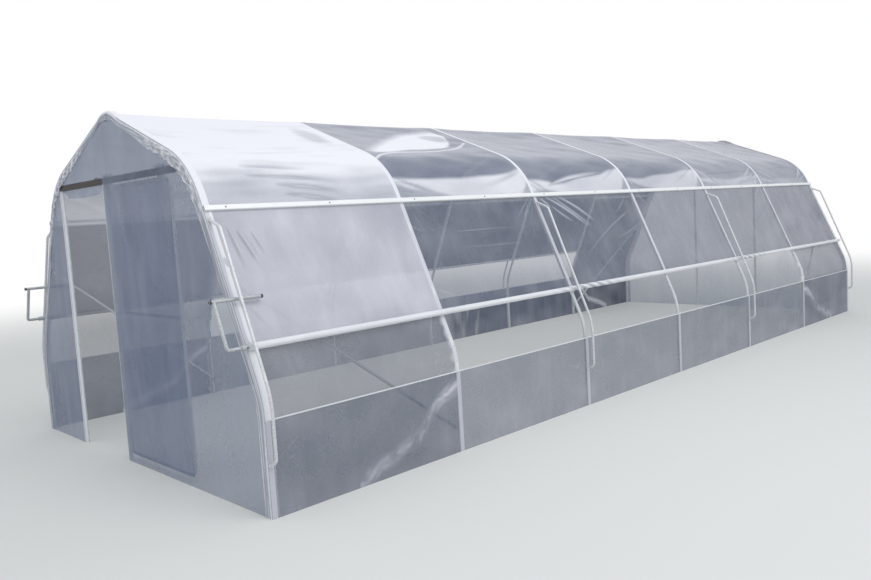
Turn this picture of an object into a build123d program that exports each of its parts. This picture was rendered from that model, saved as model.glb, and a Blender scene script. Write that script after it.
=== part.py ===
from build123d import *
import math
import os

# A walk-in polytunnel greenhouse: steel hoops under clear film, a roll-up curtain and crank on each
# long side, guide bows outside the rollers, and a sliding door in the front end wall.
# Millimetres. X runs across, Y along the tunnel from front to rear, Z up from the ground.
# The origin is on the ground, in the middle of the whole greenhouse.

# Hoops
HOOP_COUNT = 7
BAY = 1500.0
HALF_WIDTH = 1675.0
KINK_HEIGHT = 660.0
KINK_RADIUS = 520.0
APEX_HEIGHT = 2420.0
SHOULDER_DROP = 426.0
SHOULDER_INSET = 594.0
SHOULDER_RADIUS = 600.0
APEX_RADIUS = 250.0
HOOP_R = 13.5

# Clearances: SEAT between pieces that lie on each other, RUN between pieces that move past each other
SEAT = 0.3
RUN = 5.5

# Round tubes are drawn with flats that touch their outline, and the bent ones solid
FLAT_COUNT = 8
BOW_FLAT_COUNT = 6

# Film, drawn thicker than the real sheet
FILM = 2.0
BORE_SPARE = 2.0

# Ridge purlin, eave rails and wind braces
PURLIN_R = 11.0
PURLIN_WALL = 1.2
EAVE_DROP = 281.0
RAIL_WIDTH = 34.0
RAIL_DEPTH = 16.0
RAIL_WALL = 1.8
RAIL_ROUND = 6.0
BRACE_R = 10.0
BRACE_TOP = 1350.0
BRACE_FOOT = 150.0
BRACE_PAST = 30.0
BRACE_SKEW = 1.4

# Skirts and fixed side panels
SKIRT_HEIGHT = 556.0

# Rollers, the film wound on them, and the cranks
ROLLER_R = 12.5
ROLLER_WALL = 1.5
ROLL_R = 21.5
ROLL_HEIGHT = 950.0
ROLL_PLAY = 5.0
ROLLER_PAST = 40.0
ROLLER_FRONT = 40.0
SOCKET_WALL = 4.0
SOCKET_LENGTH = 45.0
CRANK_R = 11.0
CRANK_FORWARD = 145.0
CRANK_ARM = 279.0
CRANK_BEND = 16.0
HANDLE_R = 11.0
HANDLE_WALL = 2.0
HANDLE_FRONT = 175.0
HANDLE_REAR = 161.0
HANDLE_OFFSET = 50.0

# Guide bows, one for each two hoops
BOW_HOOP_COUNT = 2
BOW_R = 10.0
BOW_START_DROP = 53.0
BOW_CORNER_DROP = 141.0
BOW_TOP_OFFSET = 103.0
BOW_CORNER_RADIUS = 40.0
HOOK_HEIGHT = 325.0
HOOK_DROP = 25.0
HOOK_RADIUS = 40.0

# Front end wall
LEFT_POST_INSET = 131.0
RIGHT_POST_X = -150.0
POST_R = 13.5
POST_WALL = 1.5
HEADER_DROP = 39.0
HEADER_HEIGHT = 42.0
HEADER_DEPTH = 27.0
HEADER_WALL = 2.0
HEADER_SHORT = 176.0
FILM_ON_HEADER = 4.0
BRACKET_WIDTH = 26.0
BRACKET_INSET = 4.0
BRACKET_THICK = 4.0
BRACKET_ABOVE = 8.0

# Sliding leaf, at rest parked open to the right of the doorway
LEAF_BESIDE_POST = 55.0
LEAF_OVERLAP = 165.0
LEAF_CLEAR = 30.0
LEAF_UNDER_HEADER = 10.0
LEAF_TUBE_R = 11.0
LEAF_CORNER = 60.0
LEAF_MIDDLE = 1060.0
HANGER_INSET = 90.0
HANGER_WIDTH = 110.0
HANGER_THICK = 4.0
HANGER_FOOT = 9.0
WHEEL_R = 18.0
WHEEL_WIDTH = 12.0
WHEEL_SPREAD = 34.0
AXLE_R = 4.0
AXLE_COVER = 8.0

# Rear end wall
REAR_POST_X = 450.0
REAR_RAIL_DROP = 24.0

# Places that follow from the sizes above
SHOULDER_X = HALF_WIDTH - SHOULDER_INSET
SHOULDER_HEIGHT = APEX_HEIGHT - SHOULDER_DROP
EAVE_HEIGHT = SHOULDER_HEIGHT - EAVE_DROP
HEADER_BOTTOM = SHOULDER_HEIGHT - HEADER_DROP
HEADER_RIGHT = SHOULDER_X - HEADER_SHORT
LEFT_POST_X = LEFT_POST_INSET - SHOULDER_X
LEAF_LEFT = RIGHT_POST_X - LEAF_BESIDE_POST
LEAF_WIDTH = RIGHT_POST_X - LEFT_POST_X + LEAF_OVERLAP
REAR_RAIL_HEIGHT = SHOULDER_HEIGHT - REAR_RAIL_DROP

# Corners of the hoop's centre line on the right, as seen from the front
KINK = (HALF_WIDTH, KINK_HEIGHT)
SHOULDER = (SHOULDER_X, SHOULDER_HEIGHT)
APEX = (0.0, APEX_HEIGHT)

# The layers outside the hoops, each given by its inner face
INNER_LAYER = HOOP_R + SEAT
OUTER_LAYER = INNER_LAYER + FILM + SEAT
RAIL_SEAT = OUTER_LAYER + FILM + SEAT
ROLL_OFFSET = OUTER_LAYER + ROLL_R
BOW_OFFSET = ROLL_OFFSET + ROLL_R + ROLL_PLAY + BOW_R

LENGTH = (HOOP_COUNT - 1) * BAY
FRONT_Y = -(LENGTH + ROLLER_PAST - HANDLE_FRONT) / 2
REAR_Y = FRONT_Y + LENGTH
END_FACE = HOOP_R + SEAT
WALL_FACE = END_FACE + FILM


def unit(start, end):
    length = math.hypot(end[0] - start[0], end[1] - start[1])
    return ((end[0] - start[0]) / length, (end[1] - start[1]) / length)


def outward(direction):
    return (direction[1], -direction[0])


UP = (0.0, 1.0)
LEG = unit(KINK, SHOULDER)
LEG_OUT = outward(LEG)
AXIS_X = (1, 0, 0)
AXIS_Y = (0, 1, 0)
AXIS_LEG = (LEG[0], 0, LEG[1])
RAFTER = unit(SHOULDER, APEX)
RAFTER_OUT = outward(RAFTER)


def corner(point, before, after, offset):
    """A corner of the hoop's line, moved outwards with both of its sides."""
    a = outward(before)
    b = outward(after)
    share = offset / (1 + a[0] * b[0] + a[1] * b[1])
    return (point[0] + share * (a[0] + b[0]), point[1] + share * (a[1] + b[1]))


def leg_point(height, offset, along=0.0):
    """A point beside the leaning leg: a height on its centre line, then outwards and up the leg."""
    x = KINK[0] + (height - KINK_HEIGHT) * LEG[0] / LEG[1]
    return (x + offset * LEG_OUT[0] + along * LEG[0], height + offset * LEG_OUT[1] + along * LEG[1])


def both_sides(right_half):
    """Points of the right half from the apex down, completed with their mirror image."""
    left_half = [(-x, z) for x, z in reversed(right_half[1:])]
    return left_half + right_half


def arch_points(offset):
    """Corners of the whole hoop line, from the left foot over the apex to the right foot."""
    apex = (0.0, APEX_HEIGHT + offset / RAFTER_OUT[1])
    shoulder = corner(SHOULDER, LEG, RAFTER, offset)
    kink = corner(KINK, UP, LEG, offset)
    return both_sides([apex, shoulder, kink, (HALF_WIDTH + offset, 0.0)])


def arch_radii(offset):
    turns = [KINK_RADIUS, SHOULDER_RADIUS, APEX_RADIUS, SHOULDER_RADIUS, KINK_RADIUS]
    return [radius + offset for radius in turns]


def roof_points(offset):
    """Corners of the hoop line between the two eaves."""
    apex = (0.0, APEX_HEIGHT + offset / RAFTER_OUT[1])
    shoulder = corner(SHOULDER, LEG, RAFTER, offset)
    return both_sides([apex, shoulder, leg_point(EAVE_HEIGHT, offset)])


def roof_radii(offset):
    return [radius + offset for radius in (SHOULDER_RADIUS, APEX_RADIUS, SHOULDER_RADIUS)]


def side_points(offset):
    """Corners of the right side line, from the ground to just under the roof film's edge."""
    return [(HALF_WIDTH + offset, 0.0), corner(KINK, UP, LEG, offset), leg_point(EAVE_HEIGHT, offset, -SEAT)]


def side_radii(offset):
    return [KINK_RADIUS + offset]


def route(points, radii):
    """A line in the plane of a hoop, straight runs joined by arcs."""
    return FilletPolyline(*[(x, 0, z) for x, z in points], radius=radii)


def section(radius, flats=FLAT_COUNT):
    """Section of a round tube, with flats above and below its x axis."""
    return RegularPolygon(radius, flats, major_radius=False, rotation=90 - 180 / flats)


def bent_bar(line, radius, x_dir=AXIS_Y, flats=FLAT_COUNT):
    return sweep(Plane(origin=line @ 0, x_dir=x_dir, z_dir=line % 0) * section(radius, flats), path=line)


def bar(start, end, radius, x_dir, bore=0.0):
    """A straight bar between two points, or a tube where a bore is given."""
    direction = Vector(*end) - Vector(*start)
    outline = section(radius) - section(bore) if bore else section(radius)
    return extrude(Plane(origin=start, x_dir=x_dir, z_dir=direction) * outline, amount=direction.length)


def film_band(points, radii, layer, front, rear):
    """A sheet that follows a line of the hoops, from one end of the tunnel to the other."""
    inner = route(points(layer), radii(layer))
    outer = route(points(layer + FILM), radii(layer + FILM))
    edges = [inner, outer, Line(inner @ 0, outer @ 0), Line(inner @ 1, outer @ 1)]
    face = make_face([edge for piece in edges for edge in piece.edges()])
    return Pos(0, front, 0) * extrude(face, amount=rear - front, dir=(0, 1, 0))


def block(x, y, z):
    """A box given by its low and high values along each axis."""
    size = Box(x[1] - x[0], y[1] - y[0], z[1] - z[0], align=(Align.MIN, Align.MIN, Align.MIN))
    return Pos(x[0], y[0], z[0]) * size


def station(number):
    """Place of a hoop along the tunnel, counted from 1 at the front."""
    return FRONT_Y + (number - 1) * BAY


def clear_hoop(y):
    """The room that a hoop takes, for the ends of tubes that are cut to fit round it."""
    line = route(arch_points(0.0), arch_radii(0.0))
    return Pos(0, y, 0) * bent_bar(line, HOOP_R + SEAT)


def rafter_height(x):
    """Height of the hoop's centre line over a place near the end wall's middle."""
    return APEX_HEIGHT + abs(x) * RAFTER[1] / RAFTER[0]


def bow_points():
    """Centre line of a guide bow, from the leg under the eave to the leg above the ground."""
    start = leg_point(EAVE_HEIGHT - BOW_START_DROP, 0.0)
    top = leg_point(EAVE_HEIGHT - BOW_CORNER_DROP, BOW_TOP_OFFSET)
    kink = corner(KINK, UP, LEG, BOW_OFFSET)
    hook = (HALF_WIDTH + BOW_OFFSET, HOOK_HEIGHT)
    end = (HALF_WIDTH, HOOK_HEIGHT - HOOK_DROP)
    return [start, top, kink, hook, end]


def bow_bores(y):
    """The holes that the two ends of a guide bow need in the film."""
    points = [(x, y, z) for x, z in bow_points()]
    radius = BOW_R + BORE_SPARE
    return bar(points[0], points[1], radius, AXIS_Y) + bar(points[4], points[3], radius, AXIS_Y)


BOW_STATIONS = [station(number) for number in range(1, HOOP_COUNT + 1, BOW_HOOP_COUNT)]
ROLL_X, ROLL_Z = leg_point((ROLL_HEIGHT - ROLL_OFFSET * LEG_OUT[1]), ROLL_OFFSET)
parts = {}


def together(solids):
    """Solids of one piece that don't touch each other."""
    return solids[0] if len(solids) == 1 else Compound(children=list(solids))


def add_sides(name, *right_solids):
    """Keep a piece of the right side, and its mirror image on the left."""
    left_solids = [mirror(solid, about=Plane.YZ) for solid in right_solids]
    parts[name.format("right")] = together(right_solids)
    parts[name.format("left")] = together(left_solids)


def make_hoops():
    hoop = bent_bar(route(arch_points(0.0), arch_radii(0.0)), HOOP_R)
    for number in range(1, HOOP_COUNT + 1):
        parts[f"hoop_{number}"] = Pos(0, station(number), 0) * hoop


def make_purlin():
    """The ridge purlin hangs just under the hoops' rounded apex."""
    apex_top = APEX_HEIGHT - APEX_RADIUS * (1 / RAFTER_OUT[1] - 1)
    height = apex_top - HOOP_R - SEAT - PURLIN_R
    start = (0, FRONT_Y - HOOP_R, height)
    end = (0, REAR_Y + HOOP_R, height)
    parts["ridge_purlin"] = bar(start, end, PURLIN_R, AXIS_X, PURLIN_R - PURLIN_WALL)


def make_eave_rails():
    """A hollow rail with a rounded outer face, clamped over the edges of the films."""
    outer = Pos(RAIL_DEPTH / 2, 0) * Rectangle(RAIL_DEPTH, RAIL_WIDTH)
    outer = fillet(outer.vertices().sort_by(Axis.X)[-2:], radius=RAIL_ROUND)
    inner = Pos(RAIL_DEPTH / 2, 0) * Rectangle(RAIL_DEPTH - 2 * RAIL_WALL, RAIL_WIDTH - 2 * RAIL_WALL)
    inner = fillet(inner.vertices().sort_by(Axis.X)[-2:], radius=RAIL_ROUND - RAIL_WALL)
    x, z = leg_point(EAVE_HEIGHT, RAIL_SEAT)
    place = Plane(origin=(x, FRONT_Y - WALL_FACE, z), x_dir=(LEG_OUT[0], 0, LEG_OUT[1]), z_dir=(0, 1, 0))
    rail = extrude(place * (outer - inner), amount=LENGTH + 2 * WALL_FACE)
    add_sides("eave_rail_{}", rail)


def make_wind_braces():
    """A straight tube in each end bay, from the end hoop's leg to the next hoop's foot, inside both."""
    reach = HOOP_R + SEAT + BRACE_SKEW + BRACE_R
    top_x, top_z = leg_point(BRACE_TOP, -reach)
    foot_x = HALF_WIDTH - reach
    brace_axis = (1 + LEG_OUT[0], 0, LEG_OUT[1])
    braces = []
    for end_y, inner_y in ((station(1), station(2)), (station(HOOP_COUNT), station(HOOP_COUNT - 1))):
        top = Vector(top_x, end_y, top_z)
        foot = Vector(foot_x, inner_y, BRACE_FOOT)
        past = (foot - top).normalized() * BRACE_PAST
        braces.append(bar(top, foot + past, BRACE_R, brace_axis))
    add_sides("wind_braces_{}", *braces)


def make_guide_bows():
    """Each bow ends at the hoop's leg, cut to fit round it."""
    line = route(bow_points(), [BOW_CORNER_RADIUS, KINK_RADIUS, HOOK_RADIUS])
    bow = bent_bar(line, BOW_R, AXIS_Y, BOW_FLAT_COUNT) - clear_hoop(0.0)
    bow = bow.solids().sort_by(SortBy.VOLUME)[-1]
    for number in range(1, HOOP_COUNT + 1, BOW_HOOP_COUNT):
        add_sides("guide_bow_{}_" + str(number), Pos(0, station(number), 0) * bow)


def make_films():
    """Roof, side and skirt films, with holes where the guide bows pass through them."""
    front = FRONT_Y - END_FACE
    rear = REAR_Y + END_FACE
    bores = [bow_bores(y) for y in BOW_STATIONS]
    parts["roof_film"] = film_band(roof_points, roof_radii, INNER_LAYER, front, rear)

    front_panel = film_band(side_points, side_radii, INNER_LAYER, front, station(2) + HOOP_R)
    rear_panel = film_band(side_points, side_radii, INNER_LAYER, station(HOOP_COUNT - 1) - HOOP_R, rear)
    add_sides("side_panel_front_{}", front_panel - bores[0])
    add_sides("side_panel_rear_{}", rear_panel - bores[-1])

    wall_front = FRONT_Y - WALL_FACE
    wall_rear = REAR_Y + WALL_FACE
    skirt_x = HALF_WIDTH + OUTER_LAYER
    skirt = block((skirt_x, skirt_x + FILM), (wall_front, wall_rear), (0, SKIRT_HEIGHT))
    add_sides("skirt_{}", skirt - bores)


def make_curtains():
    """The curtain hangs from the eave rail and its lower end is wound on the roller."""
    wall_front = FRONT_Y - WALL_FACE
    wall_rear = REAR_Y + WALL_FACE
    roll_height = ROLL_HEIGHT - ROLL_OFFSET * LEG_OUT[1]
    corners = [
        leg_point(EAVE_HEIGHT, OUTER_LAYER),
        leg_point(EAVE_HEIGHT, OUTER_LAYER + FILM),
        leg_point(roll_height, OUTER_LAYER + FILM),
        leg_point(roll_height, OUTER_LAYER),
    ]
    face = make_face(Polyline(*[(x, wall_front, z) for x, z in corners], close=True))
    hanging = extrude(face, amount=wall_rear - wall_front, dir=(0, 1, 0))
    hanging = hanging - [bow_bores(y) for y in BOW_STATIONS]
    core = ROLLER_R + SEAT
    wound = bar((ROLL_X, wall_front, ROLL_Z), (ROLL_X, wall_rear, ROLL_Z), ROLL_R, AXIS_LEG, core)
    add_sides("side_curtain_{}", hanging + wound)

    start = (ROLL_X, FRONT_Y - ROLLER_FRONT, ROLL_Z)
    end = (ROLL_X, REAR_Y + ROLLER_PAST, ROLL_Z)
    add_sides("roller_tube_{}", bar(start, end, ROLLER_R, AXIS_LEG, ROLLER_R - ROLLER_WALL))


def make_cranks():
    """A socket on the roller's end, a bent rod, and a tube handle parked between leg and guide bow."""
    socket_rear = FRONT_Y - ROLLER_FRONT + SOCKET_LENGTH / 2
    socket_front = socket_rear - SOCKET_LENGTH
    roller_end = FRONT_Y - ROLLER_FRONT
    inside = ROLLER_R + SEAT
    front_end = (ROLL_X, socket_front, ROLL_Z)
    rear_end = (ROLL_X, socket_rear, ROLL_Z)
    socket = bar(front_end, rear_end, inside + SOCKET_WALL, AXIS_LEG)
    socket -= bar((ROLL_X, roller_end - SEAT, ROLL_Z), rear_end, inside, AXIS_LEG)

    roll_height = ROLL_HEIGHT - ROLL_OFFSET * LEG_OUT[1]
    handle_x, handle_z = leg_point(roll_height, HANDLE_OFFSET, CRANK_ARM)
    arm_y = FRONT_Y - CRANK_FORWARD
    line = FilletPolyline(
        (ROLL_X, socket_front + SOCKET_WALL, ROLL_Z),
        (ROLL_X, arm_y, ROLL_Z),
        (handle_x, arm_y, handle_z),
        radius=CRANK_BEND,
    )
    bent = bent_bar(line, CRANK_R, AXIS_LEG)
    front = (handle_x, FRONT_Y - HANDLE_FRONT, handle_z)
    rear = (handle_x, FRONT_Y + HANDLE_REAR, handle_z)
    grip = bar(front, rear, HANDLE_R, AXIS_LEG)
    hollow = bar(front, rear, HANDLE_R - HANDLE_WALL, AXIS_LEG)
    add_sides("crank_{}", socket + bent + grip - hollow)


def make_front_frame():
    """Door posts under the header, which runs from the hoop to a bracket past the parked leaf."""
    for name, x in (("front_post_left", LEFT_POST_X), ("front_post_right", RIGHT_POST_X)):
        foot = (x, FRONT_Y, 0)
        parts[name] = bar(foot, (x, FRONT_Y, HEADER_BOTTOM), POST_R, AXIS_X, POST_R - POST_WALL)

    top = HEADER_BOTTOM + HEADER_HEIGHT
    depth = (FRONT_Y - HEADER_DEPTH / 2, FRONT_Y + HEADER_DEPTH / 2)
    hollow = (depth[0] + HEADER_WALL, depth[1] - HEADER_WALL)
    box = block((-SHOULDER_X, HEADER_RIGHT), depth, (HEADER_BOTTOM, top))
    box -= block((-SHOULDER_X, HEADER_RIGHT), hollow, (HEADER_BOTTOM + HEADER_WALL, top - HEADER_WALL))
    box = (box - clear_hoop(FRONT_Y)).solids().sort_by(SortBy.VOLUME)[-1]

    bracket_x = (HEADER_RIGHT - BRACKET_INSET - BRACKET_WIDTH, HEADER_RIGHT - BRACKET_INSET)
    bracket_y = (FRONT_Y + END_FACE, FRONT_Y + END_FACE + BRACKET_THICK)
    bracket_top = rafter_height(bracket_x[1]) + BRACKET_ABOVE
    strap = block(bracket_x, bracket_y, (HEADER_BOTTOM, bracket_top))
    foot = block(bracket_x, (depth[1], bracket_y[1]), (HEADER_BOTTOM, top))
    parts["door_header"] = box + strap + foot


def make_front_films():
    """The front end wall's film beside the doorway and over it."""
    line = route(arch_points(INNER_LAYER + FILM), arch_radii(INNER_LAYER + FILM))
    face = make_face([*line.edges(), Line(line @ 1, line @ 0)])
    wall = extrude(face, amount=FILM, dir=(0, 1, 0))
    parts["rear_film"] = Pos(0, REAR_Y + END_FACE, 0) * wall

    wall = Pos(0, FRONT_Y - WALL_FACE, 0) * wall
    depth = (FRONT_Y - 2 * WALL_FACE, FRONT_Y)
    side = HALF_WIDTH + 2 * WALL_FACE
    over = HEADER_BOTTOM + HEADER_HEIGHT - FILM_ON_HEADER
    door_left = LEFT_POST_X + POST_R
    door_right = RIGHT_POST_X - POST_R
    parts["front_film_over"] = wall & block((-side, side), depth, (over, 2 * APEX_HEIGHT))
    parts["front_film_left"] = wall & block((-side, door_left), depth, (0, over))
    parts["front_film_right"] = wall & block((door_right, side), depth, (0, over))


def make_rear_frame():
    """Two posts under a rail that is cut to fit between the rear hoop's legs."""
    ends = ((-SHOULDER_X, REAR_Y, REAR_RAIL_HEIGHT), (SHOULDER_X, REAR_Y, REAR_RAIL_HEIGHT))
    rail = bar(*ends, POST_R, AXIS_Y)
    rail = (rail - clear_hoop(REAR_Y)).solids().sort_by(SortBy.VOLUME)[-1]
    for x in (-REAR_POST_X, REAR_POST_X):
        rail += bar((x, REAR_Y, 0), (x, REAR_Y, REAR_RAIL_HEIGHT), POST_R, AXIS_X)
    parts["rear_end_frame"] = rail


def make_door():
    """The leaf hangs behind the posts, on wheels that run on top of the header."""
    leaf_top = HEADER_BOTTOM - LEAF_UNDER_HEADER
    left = LEAF_LEFT + LEAF_TUBE_R
    right = LEAF_LEFT + LEAF_WIDTH - LEAF_TUBE_R
    bottom = LEAF_CLEAR + LEAF_TUBE_R
    top = leaf_top - LEAF_TUBE_R
    hanger_front = FRONT_Y + HEADER_DEPTH / 2 + RUN
    leaf_y = hanger_front + HANGER_THICK + SEAT + LEAF_TUBE_R

    corners = [(left, leaf_y, top), (right, leaf_y, top), (right, leaf_y, bottom), (left, leaf_y, bottom)]
    frame = bent_bar(FilletPolyline(*corners, radius=LEAF_CORNER, close=True), LEAF_TUBE_R)
    rail = bar((left, leaf_y, LEAF_MIDDLE), (right, leaf_y, LEAF_MIDDLE), LEAF_TUBE_R, AXIS_Y)
    parts["door_frame"] = frame + rail

    film_rear = leaf_y - LEAF_TUBE_R - SEAT
    film = block((left, right), (film_rear - FILM, film_rear), (bottom, top - HANGER_FOOT))
    parts["door_film"] = film

    wheel_z = HEADER_BOTTOM + HEADER_HEIGHT + SEAT + WHEEL_R
    hangers = []
    for middle in (LEAF_LEFT + HANGER_INSET, LEAF_LEFT + LEAF_WIDTH - HANGER_INSET):
        wide = (middle - HANGER_WIDTH / 2, middle + HANGER_WIDTH / 2)
        thick = (hanger_front, hanger_front + HANGER_THICK)
        hanger = block(wide, thick, (top - HANGER_FOOT + SEAT, wheel_z + AXLE_COVER))
        for x in (middle - WHEEL_SPREAD, middle + WHEEL_SPREAD):
            half = WHEEL_WIDTH / 2
            hanger += bar((x, FRONT_Y, wheel_z), (x, hanger_front, wheel_z), AXLE_R, AXIS_X)
            hanger += bar((x, FRONT_Y - half, wheel_z), (x, FRONT_Y + half, wheel_z), WHEEL_R, AXIS_X)
        hangers.append(hanger)
    parts["door_hangers"] = together(hangers)


make_hoops()
make_purlin()
make_eave_rails()
make_wind_braces()
make_guide_bows()
make_films()
make_curtains()
make_cranks()
make_front_frame()
make_front_films()
make_rear_frame()
make_door()

os.makedirs("parts", exist_ok=True)
for name, shape in parts.items():
    export_step(shape, f"parts/{name}.step")
    print(name, len(shape.solids()), round(shape.volume))
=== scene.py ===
import math

import bpy
import numpy as np
from mathutils import Matrix, Vector


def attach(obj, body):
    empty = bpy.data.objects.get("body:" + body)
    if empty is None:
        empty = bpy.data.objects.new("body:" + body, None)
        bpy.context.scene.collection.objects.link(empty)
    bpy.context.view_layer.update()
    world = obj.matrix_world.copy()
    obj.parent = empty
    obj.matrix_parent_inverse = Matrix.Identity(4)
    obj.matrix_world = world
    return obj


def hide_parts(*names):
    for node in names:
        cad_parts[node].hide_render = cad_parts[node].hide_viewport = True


# A walk-in polytunnel greenhouse: smooth steel tubes, sagging and creased film, the film wound on its
# rollers, and the small fittings that the solids leave out. Metres. X runs across, Y from front to rear.

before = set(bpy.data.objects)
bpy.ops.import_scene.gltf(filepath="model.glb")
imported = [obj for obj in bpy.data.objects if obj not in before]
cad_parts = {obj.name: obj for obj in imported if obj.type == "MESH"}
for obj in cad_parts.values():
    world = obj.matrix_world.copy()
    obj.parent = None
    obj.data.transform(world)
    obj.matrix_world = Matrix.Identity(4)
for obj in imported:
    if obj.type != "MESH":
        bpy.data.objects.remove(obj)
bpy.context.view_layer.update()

# Sizes of the frame, as the solids have them
HOOP_COUNT = 7
BAY = 1.5
FRONT = -4.4325
REAR = FRONT + (HOOP_COUNT - 1) * BAY
HALF_WIDTH = 1.675
KINK = (1.675, 0.66)
KINK_RADIUS = 0.52
SHOULDER = (1.081, 1.994)
SHOULDER_RADIUS = 0.6
APEX_HEIGHT = 2.42
APEX_RADIUS = 0.25
LEG_LEAN = 0.40677
HOOP_R = 0.0135
EAVE_HEIGHT = 1.713
PURLIN_R = 0.011
BRACE_R = 0.01
BOW_R = 0.01
BOW_OFFSET = 0.0741
BOW_FOOT = 0.3
ROLLER_R = 0.0125
ROLLER_PAST = 0.04
ROLL_R = 0.0215
ROLL_HEIGHT = 0.95
ROLL_OFFSET = 0.0376
CRANK_R = 0.011
RAIL_FACE = 0.0184 + 0.0158
SKIRT_HEIGHT = 0.556
HEADER_BOTTOM = 1.955
HEADER_TOP = 1.997
POST_R = 0.0135
LEFT_POST_X = -0.95
RIGHT_POST_X = -0.15
LEAF = (-0.205, 0.76, 0.03, 1.945)
LEAF_R = 0.011
LEAF_LINES = (LEAF[0] + LEAF_R, LEAF[1] - LEAF_R, LEAF[2] + LEAF_R, LEAF[3] - LEAF_R)
LEAF_Y = FRONT + 0.0343
LEAF_MIDDLE = 1.06
# The gap between pieces that are seated on each other
SEAT = 0.0003
# How far the layers of film lie outside the hoops' centre line, and past the end hoops
INNER_FILM = 0.0148
OUTER_FILM = 0.0171
END_FACE = 0.0138
WALL_FACE = 0.0158
ROOF_SPAN = (FRONT - END_FACE, REAR + END_FACE)
CURTAIN_SPAN = (FRONT - WALL_FACE, REAR + WALL_FACE)
# Heights of the clips that hold an end bay's side film on its inner hoop
CLIP_HEIGHTS = (1.526, 1.083, 0.747, 0.58)

ACROSS = Vector((1, 0, 0))
ALONG = Vector((0, 1, 0))
UPWARD = Vector((0, 0, 1))
SIDES = (("right", 1), ("left", -1))
HOOPS = [f"hoop_{number + 1}" for number in range(HOOP_COUNT)]
STATIONS = [FRONT + BAY * number for number in range(HOOP_COUNT)]
BOW_STATIONS = STATIONS[::2]


# Materials

# Real sizes of the patterns
STAIN_MM = 70.0
DUST_MM = 420.0
STREAK_MM = 160.0
DROP_MM = 16.0
RIPPLE_MM = 90.0
# Depths of dents in metal and of ripples in film, in metres
DENT = 0.0006
RIPPLE = 0.003
# How cloudy a drop of water makes the film
DROP_CLOUD = 0.06
# Share of the light that clouded film scatters on to what is behind it
LET_THROUGH = 0.6


def linear(code):
    """A colour written as sRGB hex, as the linear values that a shader takes."""
    parts = [int(code[i:i + 2], 16) / 255 for i in (0, 2, 4)]
    return tuple(c / 12.92 if c <= 0.04045 else ((c + 0.055) / 1.055) ** 2.4 for c in parts) + (1.0,)


def wire(tree, made, inputs):
    """Set a node's inputs, or link them. A node given as an input is linked by its first output."""
    for key, value in inputs.items():
        if isinstance(value, bpy.types.Node):
            value = value.outputs[0]
        if isinstance(value, bpy.types.NodeSocket):
            tree.links.new(value, made.inputs[key])
        else:
            made.inputs[key].default_value = value


def node(tree, kind, inputs=None, **settings):
    """Add a shader node, or another kind by its full name, with its settings and inputs."""
    made = tree.nodes.new(kind if "Node" in kind else "ShaderNode" + kind)
    for key, value in settings.items():
        setattr(made, key, value)
    wire(tree, made, inputs or {})
    return made


def material(name):
    """A new material, with its tree and its Principled shader."""
    made = bpy.data.materials.new(name)
    made.use_nodes = True
    return made, made.node_tree, made.node_tree.nodes["Principled BSDF"]


def metal(name, dull, bright, grain_mm, metallic, roughness, dent):
    """A metal whose colour changes a little from grain to grain, with faint longer stains over it."""
    made, tree, shader = material(name)
    place = node(tree, "TexCoord").outputs["Object"]
    grain = node(tree, "TexVoronoi", {"Vector": place, "Scale": 1000 / grain_mm}).outputs["Color"]
    stain = node(tree, "TexNoise", {"Vector": place, "Scale": 1000 / STAIN_MM, "Detail": 4.0})
    share = node(tree, "Math", {0: grain, 1: stain}, operation="MULTIPLY")
    tint = node(tree, "Mix", {"Factor": share, 6: linear(dull), 7: linear(bright)}, data_type="RGBA")
    rough = node(tree, "MapRange", {"Value": stain, 3: roughness - 0.06, 4: roughness + 0.1})
    bump = node(tree, "Bump", {"Height": stain, "Strength": dent, "Distance": DENT})
    wire(tree, shader, {"Base Color": tint.outputs[2], "Metallic": metallic, "Roughness": rough, "Normal": bump})
    return made


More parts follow.
